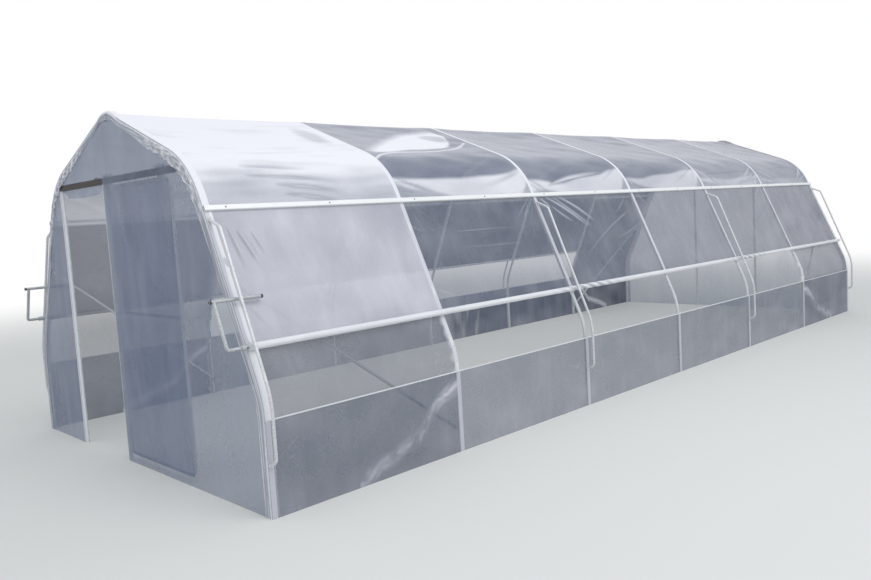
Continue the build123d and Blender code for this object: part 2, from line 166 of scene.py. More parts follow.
def polythene(name, body, cloud, clear, cloudy, stretch, gloss):
    """Clear film. It is cloudier where it is creased, dusty or streaked, and it shines at a low angle. The haze it is
    given also carries painted reflections and painted shade, and the fold it is given carries painted highlights over
    the tubes.
    """
    made, tree, shader = material(name)
    place = node(tree, "TexCoord").outputs["Object"]
    long_way = node(tree, "Mapping", {"Vector": place, "Scale": stretch})
    dust = node(tree, "TexNoise", {"Vector": place, "Scale": 1000 / DUST_MM, "Detail": 2.5})
    streak = node(tree, "TexNoise", {"Vector": long_way, "Scale": 1000 / STREAK_MM, "Detail": 3.0})
    drop = node(tree, "TexVoronoi", {"Vector": place, "Scale": 1000 / DROP_MM})
    fold_and_painted_highlight = node(tree, "Attribute", attribute_name="fold_and_painted_highlight").outputs["Fac"]
    haze_and_painted_light = node(tree, "Attribute", attribute_name="haze_and_painted_light").outputs["Fac"]
    drops = node(tree, "MapRange", {"Value": drop, 1: 0.4, 2: 0.1})
    patches = node(tree, "MapRange", {"Value": dust, 1: 0.35, 2: 0.75, 4: 0.1})
    runs = node(tree, "MapRange", {"Value": streak, 1: 0.42, 2: 0.75, 4: 0.12})
    soil_and_painted_light = node(tree, "Math", {0: patches, 1: runs}, operation="ADD")
    soil_and_painted_light = node(tree, "Math", {0: soil_and_painted_light, 1: haze_and_painted_light}, operation="ADD", use_clamp=True)
    soil_and_painted_light = node(tree, "Math", {0: drops, 1: DROP_CLOUD, 2: soil_and_painted_light}, operation="MULTIPLY_ADD")
    soil_and_painted_light = node(tree, "Math", {0: soil_and_painted_light, 1: fold_and_painted_highlight}, operation="MAXIMUM", use_clamp=True)
    tint = node(tree, "Mix", {"Factor": soil_and_painted_light, 6: linear(body), 7: linear(cloud)}, data_type="RGBA")
    edge = node(tree, "Fresnel", {"IOR": 1.35})
    cover = node(tree, "MapRange", {"Value": soil_and_painted_light, 3: clear, 4: cloudy})
    cover = node(tree, "Math", {0: cover, 1: edge}, operation="ADD", use_clamp=True)
    ray = node(tree, "LightPath").outputs
    light = node(tree, "Math", {0: ray["Is Shadow Ray"], 1: ray["Is Diffuse Ray"]}, operation="MAXIMUM")
    held = node(tree, "Math", {0: light, 1: -LET_THROUGH, 2: 1.0}, operation="MULTIPLY_ADD")
    cover = node(tree, "Math", {0: cover, 1: held}, operation="MULTIPLY")
    rough = node(tree, "MapRange", {"Value": soil_and_painted_light, 3: gloss, 4: gloss + 0.25})
    fine = node(tree, "TexNoise", {"Vector": long_way, "Scale": 1000 / RIPPLE_MM, "Detail": 1.5})
    bump = node(tree, "Bump", {"Height": fine, "Strength": 0.3, "Distance": RIPPLE})
    wire(tree, shader, {"Base Color": tint.outputs[2], "Alpha": cover, "Roughness": rough, "Normal": bump,
                        "Specular IOR Level": 0.35})
    return made


# Hot-dip galvanised steel tube: pale grey zinc with grains of about 9 mm, dull where it has weathered
zinc = metal("galvanised_steel_tube", "c6c9cd", "f3f4f6", 9.0, 0.3, 0.36, 0.15)
# The same tube on the cranks, darker and greyer as painted shade, so that their lower sides show darker
shaded_zinc = metal("galvanised_tube_painted_shade", "a4a8ad", "e2e5e8", 9.0, 0.45, 0.34, 0.2)
# Extruded aluminium, mill finish: brighter and more even than the zinc
aluminium = metal("extruded_aluminium_mill", "eceeef", "fafafb", 3.0, 0.12, 0.4, 0.05)
# Steel section in dark brown paint that has gone chalky
brown_paint = metal("brown_painted_steel", "322c29", "4c4540", 5.0, 0.0, 0.6, 0.3)
# Dark zinc-plated screws and wire, dull with age
screw_zinc = metal("aged_zinc_screws", "5d6266", "8f9497", 2.0, 0.8, 0.45, 0.1)
# Moulded pale plastic of the film clips
clip_plastic = metal("moulded_clip_plastic", "d9dcdd", "f0f1f1", 6.0, 0.0, 0.42, 0.05)
# Dark moulded plugs on the crank handles' ends
plug_plastic = metal("dark_moulded_plug", "2b2e33", "41454b", 6.0, 0.0, 0.5, 0.05)
# The skirt's upper edge, folded over and welded into a narrow white band
welded_polythene = metal("welded_polythene_hem", "d8dbe0", "f4f5f7", 12.0, 0.0, 0.4, 0.05)

# Greenhouse polythene about 0.15 mm thick: clear, bluish grey where it is seen against the light
roof_polythene = polythene("clear_polythene_roof", "747b90", "eeeef4", 0.66, 0.9, (1, 0.25, 1), 0.2)
side_polythene = polythene("clear_polythene_side", "626a7c", "d6d5df", 0.58, 0.88, (1, 1, 0.18), 0.2)
panel_polythene = polythene("clear_polythene_panel", "5c6273", "e4e4ea", 0.46, 0.92, (1, 1, 0.18), 0.2)
wall_polythene = polythene("clear_polythene_end_wall", "62708f", "b6c0d6", 0.42, 0.8, (1, 1, 0.15), 0.24)
# The same film wound in many layers, which makes it white and no longer clear
folded_polythene = polythene("wound_polythene", "a3a8b2", "f0f0f4", 0.6, 0.98, (1, 0.4, 1), 0.22)
# The same film gathered by hand: clear between its folds and white along them
gathered_polythene = polythene("gathered_polythene", "a3a9b6", "f4f3f8", 0.4, 0.96, (1, 0.4, 1), 0.18)


# Shapes

SHARP_ANGLE = 40.0


def rounded(corners, radii, step):
    """Points of straight runs that arcs join."""
    corners = [np.array(corner, float) for corner in corners]
    points = [corners[0]]
    for before, here, after, radius in zip(corners, corners[1:], corners[2:], radii):
        coming = (here - before) / np.linalg.norm(here - before)
        going = (after - here) / np.linalg.norm(after - here)
        turn = math.acos(max(-1.0, min(1.0, float(coming @ going))))
        inwards = (going - coming * math.cos(turn)) / math.sin(turn)
        start = here - coming * radius * math.tan(turn / 2)
        count = max(3, math.ceil(radius * turn / step))
        for angle in np.linspace(0.0, turn, count + 1):
            points.append(start + inwards * radius * (1 - math.cos(angle)) + coming * radius * math.sin(angle))
    points.append(corners[-1])
    return np.array(points)


def lengths_along(points):
    return np.concatenate([[0.0], np.cumsum(np.linalg.norm(np.diff(points, axis=0), axis=1))])


def evenly(points, step):
    """The same line with points a step apart."""
    lengths = lengths_along(points)
    places = np.linspace(0.0, lengths[-1], max(2, math.ceil(lengths[-1] / step) + 1))
    return np.stack([np.interp(places, lengths, points[:, i]) for i in range(points.shape[1])], axis=1)


HOOP_CORNERS = [(HALF_WIDTH, 0.0), KINK, SHOULDER, (0.0, APEX_HEIGHT)]
HOOP_CORNERS += [(-x, z) for x, z in reversed(HOOP_CORNERS[:-1])]
HOOP_RADII = [KINK_RADIUS, SHOULDER_RADIUS, APEX_RADIUS, SHOULDER_RADIUS, KINK_RADIUS]
HOOP_STEP = 0.004
HOOP_LINE = evenly(rounded(HOOP_CORNERS, HOOP_RADII, HOOP_STEP), HOOP_STEP)
HOOP_WAY = np.gradient(HOOP_LINE, axis=0)
HOOP_WAY /= np.linalg.norm(HOOP_WAY, axis=1)[:, None]
HOOP_PLACES = lengths_along(HOOP_LINE)
HOOP_LENGTH = HOOP_PLACES[-1]
APEX = HOOP_LENGTH / 2


def on_hoop(place, out=0.0):
    """X and Z of a place along the hoop, counted from its right foot, and so far outside its centre line."""
    x, z = (np.interp(place, HOOP_PLACES, HOOP_LINE[:, i]) for i in (0, 1))
    way_x, way_z = (np.interp(place, HOOP_PLACES, HOOP_WAY[:, i]) for i in (0, 1))
    return x + out * way_z, z - out * way_x


def place_at(height):
    """The place along the right leg whose centre is at that height."""
    rising = HOOP_PLACES < APEX
    return float(np.interp(height, HOOP_LINE[rising, 1], HOOP_PLACES[rising]))


EAVE = place_at(EAVE_HEIGHT)
ROLL = place_at(ROLL_HEIGHT)
ROLLER_PLACE = place_at(ROLL_HEIGHT - ROLL_OFFSET * LEG_LEAN)
ROLLER_X, ROLLER_Z = on_hoop(ROLLER_PLACE, ROLL_OFFSET)


def tube_tree():
    """Sweep a round tube along a line of edges, with or without flat ends."""
    tree = bpy.data.node_groups.new("tube_along_line", "GeometryNodeTree")
    for name, kind in (("Line", "Geometry"), ("Radius", "Float"), ("Sides", "Int"), ("Closed ends", "Bool"),
                       ("Finish", "Material")):
        tree.interface.new_socket(name, in_out="INPUT", socket_type=f"NodeSocket{kind}")
    tree.interface.new_socket("Tube", in_out="OUTPUT", socket_type="NodeSocketGeometry")
    given = node(tree, "NodeGroupInput").outputs
    line = node(tree, "GeometryNodeMeshToCurve", {"Mesh": given["Line"]})
    ring = node(tree, "GeometryNodeCurvePrimitiveCircle", {"Resolution": given["Sides"], "Radius": given["Radius"]})
    swept = {"Curve": line, "Profile Curve": ring, "Fill Caps": given["Closed ends"]}
    whole = node(tree, "GeometryNodeRealizeInstances", {"Geometry": node(tree, "GeometryNodeCurveToMesh", swept)})
    whole = node(tree, "GeometryNodeSetMaterial", {"Geometry": whole, "Material": given["Finish"]})
    node(tree, "NodeGroupOutput", {"Tube": whole})
    return tree


TUBE_TREE = tube_tree()


def linked(name, content):
    """A new object in the scene."""
    made = bpy.data.objects.new(name, content)
    bpy.context.scene.collection.objects.link(made)
    return made


def new_mesh(name, vertices, faces, *finishes, edges=()):
    mesh = bpy.data.meshes.new(name)
    mesh.from_pydata(vertices, edges, faces)
    for finish in finishes:
        mesh.materials.append(finish)
    return mesh


def smoothed(mesh):
    mesh.polygons.foreach_set("use_smooth", [True] * len(mesh.polygons))
    mesh.set_sharp_from_angle(angle=math.radians(SHARP_ANGLE))
    return mesh


def plain_mesh(carrier, name):
    """The shape of an object with its modifiers, as a plain mesh, and the object removed."""
    evaluated = carrier.evaluated_get(bpy.context.evaluated_depsgraph_get())
    mesh = bpy.data.meshes.new_from_object(evaluated)
    mesh.name = name
    bpy.data.objects.remove(carrier)
    return smoothed(mesh)


def tube(points, radius, finish, sides=18, wall=0.0, ring=False):
    """A round tube along points. With a wall it is hollow and its ends are open."""
    edges = [(i, i + 1) for i in range(len(points) - 1)]
    if ring:
        edges.append((len(points) - 1, 0))
    carrier = linked("line", new_mesh("line", [tuple(point) for point in points], [], edges=edges))
    sweep = carrier.modifiers.new("tube", "NODES")
    sweep.node_group = TUBE_TREE
    values = {"Radius": radius, "Sides": sides, "Closed ends": not wall, "Finish": finish}
    for item in TUBE_TREE.interface.items_tree:
        if item.name in values and item.in_out == "INPUT":
            sweep[item.identifier] = values[item.name]
    if wall:
        shell = carrier.modifiers.new("wall", "SOLIDIFY")
        shell.thickness = wall
        shell.offset = -1.0
    return plain_mesh(carrier, "tube")


def joined(meshes, name):
    """Several meshes as one, each with its own finish."""
    finishes, vertices, faces, slots = [], [], [], []
    for mesh in meshes:
        start = len(vertices)
        vertices.extend(tuple(v.co) for v in mesh.vertices)
        for finish in mesh.materials:
            if finish not in finishes:
                finishes.append(finish)
        for face in mesh.polygons:
            faces.append([start + i for i in face.vertices])
            slots.append(finishes.index(mesh.materials[face.material_index]))
    made = new_mesh(name, vertices, faces, *finishes)
    made.polygons.foreach_set("material_index", slots)
    return smoothed(made)


def placed(name, mesh, nodes, body):
    """An object of the greenhouse, which moves with a body and stands for CAD nodes."""
    made = linked(name, mesh)
    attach(made, body)
    if nodes:
        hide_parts(*nodes)
    return made


def piece(name, meshes, nodes=(), body="tunnel"):
    return placed(name, joined(meshes, name), nodes, body)


def block(low, high, finish, bevel=0.0006):
    """A box with slightly rounded edges."""
    corners = [(x, y, z) for x in (low[0], high[0]) for y in (low[1], high[1]) for z in (low[2], high[2])]
    faces = [(0, 1, 3, 2), (4, 6, 7, 5), (0, 4, 5, 1), (2, 3, 7, 6), (0, 2, 6, 4), (1, 5, 7, 3)]
    carrier = linked("block", new_mesh("block", corners, faces, finish))
    soft = carrier.modifiers.new("edges", "BEVEL")
    soft.width = bevel
    soft.segments = 2
    return plain_mesh(carrier, "block")


def ring_faces(rings, sides):
    """The faces between rings of points."""
    starts = [(i * sides + k, i * sides + (k + 1) % sides) for i in range(rings - 1) for k in range(sides)]
    return [(a, b, b + sides, a + sides) for a, b in starts]


def turned(profile, base, axis, finish, sides=24):
    """A round part: its profile, as radius and height, turned about an axis."""
    turn = Vector(axis).to_track_quat("Z", "Y").to_matrix()
    vertices = []
    for radius, height in profile:
        for k in range(sides):
            angle = 2 * math.pi * k / sides
            spot = Vector((radius * math.cos(angle), radius * math.sin(angle), height))
            vertices.append(tuple(Vector(base) + turn @ spot))
    faces = ring_faces(len(profile), sides)
    faces.append(tuple(reversed(range(sides))))
    faces.append(tuple(range((len(profile) - 1) * sides, len(profile) * sides)))
    return new_mesh("turned", vertices, faces, finish)


def bolt(base, axis, size=0.005):
    """A washer and a domed screw head."""
    profile = [(1.5, 0.0), (1.5, 0.25), (1.0, 0.3), (1.0, 0.8), (0.75, 1.1), (0.3, 1.2)]
    return turned([(size * radius, size * height) for radius, height in profile], base, axis, screw_zinc, 12)


# Film

# How high a crease stands where it is fully white
WHITE_RISE = 0.009
# Creases narrower than this are straight, and wider ones are bowed
NARROW_CREASE = 0.0065
# Half the width of the stripe where film lies on a tube, and the width of its soft edge
STRIPE = 0.021
STRIPE_EDGE = 0.005
ROOF_SAG = 0.025
SIDE_SAG = 0.009
WALL_SLACK = 0.005


def unit(value):
    return np.clip(value, 0, 1)


def soft_step(value):
    """A rise from 0 to 1 that starts and ends gently."""
    value = unit(value)
    return value * value * (3 - 2 * value)


def bell(value, width):
    """1 at zero, and fading to 0 over about that width to both sides."""
    return np.exp(-(value / width) ** 2)


def film(name, points, finish, nodes=(), body="tunnel", fold_and_painted_highlight=0.0, haze_and_painted_light=0.0, flip=False):
    """A sheet of film from rows and columns of X, Y and Z, with how creased and how dusty it is at each, and the
    painted light laid into both.
    """
    shape = points[0].shape
    index = np.arange(shape[0] * shape[1]).reshape(shape)
    corners = [index[:-1, :-1], index[1:, :-1], index[1:, 1:], index[:-1, 1:]]
    if flip:
        corners.reverse()
    faces = np.stack(corners, -1).reshape(-1, 4).tolist()
    mesh = new_mesh(name, np.stack(points, -1).reshape(-1, 3).tolist(), faces, finish)
    for label, values in (("fold_and_painted_highlight", fold_and_painted_highlight), ("haze_and_painted_light", haze_and_painted_light)):
        layer = mesh.attributes.new(label, "FLOAT", "POINT")
        layer.data.foreach_set("value", unit(np.broadcast_to(values, shape)).astype(np.float32).ravel())
    mesh.polygons.foreach_set("use_smooth", [True] * len(faces))
    return placed(name, mesh, nodes, body)


def ruled(low, high, step, marks=()):
    """Places from low to high about a step apart, with marks among them."""
    marks = [mark for mark in marks if low + 0.001 < mark < high - 0.001]
    places = [place for place in np.linspace(low, high, math.ceil((high - low) / step) + 1)
              if place in (low, high) or all(abs(place - mark) > 0.0025 for mark in marks)]
    return np.array(sorted(places + marks))


def lattice(first, second, step_first, step_second, marks=()):
    """Two ranges as a lattice of rows and columns, with the first range's marks among its rows."""
    return np.meshgrid(ruled(*first, step_first, marks), ruled(*second, step_second), indexing="ij")


def beside(places, *reaches):
    """Marks on places and at reaches to both sides of them."""
    return [place + reach for place in places for reach in (0.0, *reaches, *(-reach for reach in reaches))]


TUBE_MARKS = beside(STATIONS, 0.010, 0.016, STRIPE)
RIDGE_MARKS = beside([APEX], 0.008, 0.014, 0.02)


def bay_number(y):
    """The number of a place's bay, from 0 at the front."""
    return np.clip(np.floor((y - FRONT) / BAY), 0, HOOP_COUNT - 2)


def bay_share(y):
    """How far a place is along its own bay, from 0 to 1."""
    return np.clip((y - FRONT) / BAY, 0, HOOP_COUNT - 1 - 1e-9) % 1.0


def between_hoops(y):
    """0 on each hoop and 1 midway between two."""
    share = bay_share(y)
    return 4 * share * (1 - share)


def off_hoops(y, rate=3):
    """0 on each hoop, and soon 1 beside it."""
    return unit(between_hoops(y) * rate)


def on_tube(y):
    """1 where film lies on a hoop, where a painted highlight shows the hoop through it as a bright stripe, and 0 beside
    it.
    """
    away = np.min([np.abs(y - hoop_y) for hoop_y in STATIONS], axis=0)
    return unit((STRIPE - away) / STRIPE_EDGE)


def waves(seed, a, b, size_a, size_b, count=10):
    """Smooth uneven waves from about -1 to 1, of about that size each way."""
    draw = np.random.default_rng(seed)
    total = np.zeros_like(a)
    for _ in range(count):
        turns_a = draw.uniform(0.45, 1.5) / size_a * draw.choice([-1, 1])
        turns_b = draw.uniform(0.45, 1.5) / size_b
        total += np.sin(2 * math.pi * (turns_a * a + turns_b * b) + draw.uniform(0, 2 * math.pi))
    return total / math.sqrt(count * 1.6)


def outwards_only(value):
    """The part of a wave that stands outwards, with no kink where it begins."""
    return 0.5 * (value + np.sqrt(value ** 2 + 0.001 ** 2))


def through(places, values, at):
    """A smooth curve through points."""
    return np.polyval(np.polyfit(places, values, 4), at)


def crease(a, b, start, end, width, height):
    """A slightly bowed crease over a sheet: sharp where it starts, and fading towards its end."""
    run_a, run_b = end[0] - start[0], end[1] - start[1]
    long = math.hypot(run_a, run_b)
    share = ((a - start[0]) * run_a + (b - start[1]) * run_b) / long ** 2
    away = ((a - start[0]) * run_b - (b - start[1]) * run_a) / long
    if width > NARROW_CREASE:
        away += long * 0.16 * math.sin(97 * start[0] + 61 * end[1]) * share * (1 - share)
    fade = np.where((share > 0) & (share < 1), np.sqrt(unit(share)) * (1 - unit(share)) * 2.6, 0)
    return height * fade * bell(away, width * (0.7 + unit(share)))


def creased(a, b, lines):
    """The height of all creases, and how white they make the film."""
    height = np.zeros_like(a)
    white = np.zeros_like(a)
    for line in lines:
        one = crease(a, b, *line)
        height += one
        white = np.maximum(white, np.abs(one) / WHITE_RISE)
    return height, white


def fan(seed, corner, reach, low, high, count, rise, width=0.011):
    """Creases that spread from a corner between two directions, in degrees."""
    draw = np.random.default_rng(seed)
    lines = []
    for k in range(count):
        angle = math.radians(low + (high - low) * (k + draw.uniform(0.2, 0.8)) / count)
        start = draw.uniform(0.02, 0.14)
        end = reach * draw.uniform(0.55, 1.0)
        way = (math.cos(angle), math.sin(angle))
        lines.append((
            (corner[0] + way[0] * start, corner[1] + way[1] * start),
            (corner[0] + way[0] * end, corner[1] + way[1] * end),
            width * draw.uniform(0.7, 1.3),
            rise * draw.choice([-1, 1]) * draw.uniform(0.6, 1.2),
        ))
    return lines


# The roof's single creases: along the tunnel and up from the eave at both ends, width and rise
ROOF_CREASES = (
    (0.345, 0.325, 0.86, 0.270, 0.016, -0.007), (0.345, 0.233, 1.06, 0.166, 0.018, -0.008),
    (0.533, 0.158, 1.08, 0.076, 0.018, -0.008), (0.575, 0.084, 1.02, 0.008, 0.015, -0.007),
    (0.374, 0.280, 1.00, 0.225, 0.018, 0.004), (0.458, 0.198, 1.06, 0.124, 0.016, 0.004),
    (3.24, 0.080, 4.25, 0.225, 0.018, -0.009), (3.03, 0.157, 3.24, 0.012, 0.010, -0.009),
    (3.03, 0.105, 3.17, 0.000, 0.009, -0.009), (4.53, 0.119, 4.63, 0.025, 0.008, 0.008),
    (4.59, 0.165, 4.70, 0.020, 0.008, 0.008),
)
# Hoops and the way from them where the roof has no fan of creases at the right eave
SMOOTH_ROOF = ((0, 1), (1, -1), (2, 1), (3, 1))
# Where the white crescents over the eaves, painted reflections, end above, and how white they are, bay by bay from the
# second one
CRESCENT_PLACES = [0.0, 0.1, 0.25, 0.48, 0.75, 0.9, 1.0]
REFLECTION_CRESCENTS = [
    [0.215, 0.208, 0.200, 0.204, 0.228, 0.262, 0.295],
    [0.185, 0.165, 0.126, 0.178, 0.229, 0.270, 0.292],
    [0.165, 0.170, 0.172, 0.210, 0.245, 0.262, 0.270],
    [0.150, 0.160, 0.150, 0.134, 0.150, 0.172, 0.200],
    [0.080, 0.100, 0.120, 0.130, 0.120, 0.100, 0.080],
]
REFLECTION_CRESCENT_WHITE = [0.78, 0.72, 0.6, 0.42, 0.25]
# The second bay's patch of painted reflection, by its place along the bay and up from the eave: its two edges and the
# line below
PATCH_BELOW = ([0.05, 0.25, 0.45, 0.65, 0.78, 0.86, 0.93], [0.56, 0.61, 0.675, 0.735, 0.82, 0.93, 1.15])
PATCH_ABOVE = ([0.05, 0.12, 0.32, 0.55, 0.75, 0.92], [0.60, 0.68, 0.92, 1.14, 1.25, 1.27])
PATCH_LINE = ([0.0, 0.05, 0.19, 0.41, 0.67, 0.82, 0.95], [0.38, 0.46, 0.54, 0.617, 0.671, 0.75, 0.88])


def roof_lines():
    lines = []
    for number, hoop_y in enumerate(STATIONS):
        for eave, up in ((EAVE, 1), (HOOP_LENGTH - EAVE, -1)):
            for way in (1, -1):
                smooth = up > 0 and (number, way) in SMOOTH_ROOF
                if smooth or not FRONT < hoop_y + way * 0.1 < REAR:
                    continue
                draw = np.random.default_rng(100 + number * 10 + way + (5 if up > 0 else 0))
                for _ in range(9 if way > 0 else 5):
                    first = draw.uniform(0.04, 0.30)
                    reach = draw.uniform(0.2, 0.75)
                    start = (hoop_y + way * 0.016, eave + up * first)
                    end = (hoop_y + way * reach, eave + up * first * draw.uniform(0.0, 0.4))
                    rise = 0.006 * draw.choice([-1, 1]) * draw.uniform(0.5, 1.1)
                    lines.append((start, end, draw.uniform(0.008, 0.018), rise))
    for a, b, c, d, width, rise in ROOF_CREASES:
        lines.append(((FRONT + a, EAVE + b), (FRONT + c, EAVE + d), width, rise))
    return lines


def roof_reflections_and_haze(y, place):
    """How cloudy the roof is, with painted reflections. Its white areas are bright reflections, painted on the film."""
    along = bay_share(y)
    number = bay_number(y)
    from_eave = np.minimum(place - EAVE, HOOP_LENGTH - EAVE - place)
    uneven = waves(9, y, place, 0.9, 0.9)
    band = np.zeros_like(along)
    for bay, heights in enumerate(REFLECTION_CRESCENTS, 1):
        band = np.where(number == bay, np.interp(along, CRESCENT_PLACES, heights), band)
    band += 0.008 * uneven
    # Each crescent is greyer inside, above the eave
    inner = 0.02 + np.where(number == 2, 0.3, 0.75) * band * unit(1 - along * 2.6)
    inner = inner + 0.17 * unit((along - 0.88) / 0.12) + 0.015 * uneven
    bright = np.interp(number, [1, 2, 3, 4, 5], REFLECTION_CRESCENT_WHITE)
    haze_and_painted_light = soft_step((band - from_eave) / 0.045) * (bright - 0.62 * bright * soft_step((inner - from_eave) / 0.05))
    # The second bay's upper film carries a painted reflection: a white patch with a grey spot, and a thin line below
    patch = soft_step((from_eave - through(*PATCH_BELOW, along)) / 0.045 + 0.5)
    patch *= soft_step((through(*PATCH_ABOVE, along) - from_eave) / 0.16 + 0.3)
    patch *= soft_step(along / 0.04) * soft_step((0.93 - along) / 0.04)
    patch *= 1 - 0.6 * soft_step(1.8 - 1.5 * np.hypot((along - 0.79) / 0.11, (from_eave - 1.03) / 0.12))
    line = 0.85 * bell(from_eave - through(*PATCH_LINE, along), 0.014) * (along < 0.95)
    patch = np.maximum(patch, line) * ((number == 1) & (place < APEX))
    haze_and_painted_light = np.maximum(haze_and_painted_light, patch * 0.95)
    # The first bay carries a painted reflection, white all over, apart from a grey spot by the second hoop; it is
    # greyer towards the eave, with soft painted shade streaks along it
    first_bay = 0.95 - 0.42 * soft_step((0.45 - from_eave) / 0.45) + 0.05 * waves(12, y, place, 1.5, 0.6)
    first_bay += 0.06 * waves(15, y, place, 1.3, 0.11, 14)
    first_bay -= 0.4 * soft_step(1.5 - 1.3 * np.hypot((along - 0.885) / 0.075, (place - EAVE - 0.97) / 0.26))
    return np.where(number == 0, first_bay, haze_and_painted_light) + 0.05 * waves(14, y, place, 0.8, 0.5)


def roof_film():
    """The roof's sheet, from eave to eave. It is finer near the right eave, where it is seen closest."""
    span = HOOP_LENGTH - 2 * EAVE
    near = ruled(EAVE, EAVE + 1.0, 0.014)
    columns = np.concatenate([near, ruled(EAVE + 1.0, HOOP_LENGTH - EAVE, 0.026, RIDGE_MARKS)[1:]])
    y, place = np.meshgrid(ruled(*ROOF_SPAN, 0.02, TUBE_MARKS), columns, indexing="ij")
    slack = np.sin(math.pi * unit((place - EAVE) / span)) ** 0.55
    slack *= 1 - 0.7 * bell(place - APEX, 0.12)
    free = off_hoops(y) * unit(slack * 1.6)
    height, white = creased(y, place, roof_lines())
    out = INNER_FILM - ROOF_SAG * between_hoops(y) * slack
    out += 0.003 * waves(3, y, place, 0.7, 0.3) * free
    out += height * free
    x, z = on_hoop(place, out)
    # Painted shade in the creases' valleys, taken off the film's cloudiness
    shade = np.clip(-height / 0.006, 0, 1.3) * 0.3
    # A painted highlight along the ridge
    painted_ridge_highlight = 0.85 * soft_step((0.02 - np.abs(place - APEX)) / 0.008)
    roof = film("roof_sheet", (x, y, z), roof_polythene, ["roof_film"],
                fold_and_painted_highlight=np.maximum(np.maximum(white * 0.8, painted_ridge_highlight), on_tube(y) * 0.97), haze_and_painted_light=roof_reflections_and_haze(y, place) - shade)


# The right curtain's creases: along the tunnel and height at both ends, width and rise
CURTAIN_CREASES = (
    (1.669, 1.480, 2.724, 1.466, 0.006, 0.0035), (1.587, 1.355, 2.782, 1.348, 0.006, 0.0035),
    (1.511, 1.532, 1.648, 1.473, 0.008, 0.004), (1.640, 1.540, 1.765, 1.465, 0.008, 0.003),
    (3.060, 1.690, 3.175, 1.590, 0.009, 0.008), (3.130, 1.700, 3.618, 1.402, 0.010, 0.009),
    (3.300, 1.700, 3.754, 1.441, 0.011, 0.008), (3.180, 1.620, 3.430, 1.465, 0.009, -0.007),
    (3.220, 1.705, 3.700, 1.390, 0.011, -0.006), (4.420, 1.560, 3.249, 1.101, 0.011, 0.0035),
    (4.450, 1.430, 3.826, 1.282, 0.011, 0.003), (0.090, 1.610, 0.135, 1.345, 0.006, -0.009),
    (0.112, 1.610, 0.175, 1.320, 0.007, 0.010), (0.148, 1.585, 0.232, 1.365, 0.006, -0.010),
    (0.188, 1.580, 0.265, 1.355, 0.007, 0.010), (0.238, 1.575, 0.292, 1.430, 0.006, -0.008),
    (0.050, 1.310, 0.108, 1.200, 0.009, 0.008), (0.060, 1.180, 0.190, 0.990, 0.009, 0.008),
    (1.530, 1.090, 1.700, 1.020, 0.009, 0.003),
)
# The left curtain, which can't be seen, has two folds from its packing in their place
PACKING_FOLDS = ((1.6, 1.35, 7.2, 1.35, 0.006, 0.003), (1.6, 1.48, 7.2, 1.48, 0.006, 0.003))
# Hoops and the way from them where the right curtain's own creases take the place of a fan
BUSY_CURTAIN = ((0, 1), (1, -1), (2, 1))


def curtain_lines(side):
    """Creases of a curtain: its own, and fans below the places that hold it."""
    lines = [((FRONT + a, place_at(b)), (FRONT + c, place_at(d)), width, rise)
             for a, b, c, d, width, rise in (CURTAIN_CREASES if side > 0 else PACKING_FOLDS)]
    for number, hoop_y in enumerate(STATIONS):
        for way, low, high in ((1, -70, -25), (-1, -155, -110)):
            if FRONT < hoop_y + way * 0.1 < REAR and not (side > 0 and (number, way) in BUSY_CURTAIN):
                top = (hoop_y + way * 0.03, EAVE + 0.02)
                lines += fan(300 + number * 7 + way + side * 3, top, 0.5, low, high, 3, 0.0025)
    return lines


def side_curtain(label, side):
    """The hanging part of a curtain. The right one is finer where its first creases are."""
    fine = 0.0115 if side > 0 else 0.022
    marks = TUBE_MARKS + [FRONT + 0.0845 + 0.0055 * k for k in range(40 if side > 0 else 0)]
    y, place = lattice(CURTAIN_SPAN, (ROLL, EAVE), fine, fine, marks)
    share = (place - ROLL) / (EAVE - ROLL)
    held = np.sin(math.pi * unit(share)) ** 0.5
    free = off_hoops(y) * held
    out = OUTER_FILM - SIDE_SAG * between_hoops(y) * held
    out += 0.0016 * waves(21 + side, y, place, 0.5, 0.4) * free
    out += 0.0007 * waves(31 + side, y, place, 0.05, 0.5, 14) * free
    height, white = creased(y, place, curtain_lines(side))
    # In the end bays it lies on the panel's film, so its creases stand outwards only
    doubled = (y < FRONT + BAY) | (y > REAR - BAY)
    # Its inward creases there lose their white and become painted shade
    shade = unit(-height / 0.007) * doubled * 0.27
    white = np.where(doubled & (height < 0), 0, white)
    height = np.where(doubled, np.abs(height), height)
    out += height * unit(free * 1.5)
    x, z = on_hoop(place, out)
    number = bay_number(y)
    # The first bay carries a painted reflection, less in its upper part near the second hoop; the last bay is a little
    # cloudier
    haze_and_painted_light = np.where(number == 0, 0.76, 0.02) + 0.06 * waves(41 + side, y, place, 1.2, 0.5)
    haze_and_painted_light = np.where(number == HOOP_COUNT - 2, haze_and_painted_light + 0.2, haze_and_painted_light)
    haze_and_painted_light += 0.18 * soft_step((place - EAVE + 0.02) / 0.02) - shade
    haze_and_painted_light -= 0.2 * (number == 0) * soft_step(bay_share(y) * 2.5 - 1.5) * soft_step(share * 2.5 - 1.3)
    sheet = film(f"curtain_sheet_{label}", (x * side, y, z), side_polythene, [f"side_curtain_{label}"],
                 fold_and_painted_highlight=np.maximum(white, on_tube(y)), haze_and_painted_light=haze_and_painted_light, flip=side < 0)
    wound_roll(label, side)


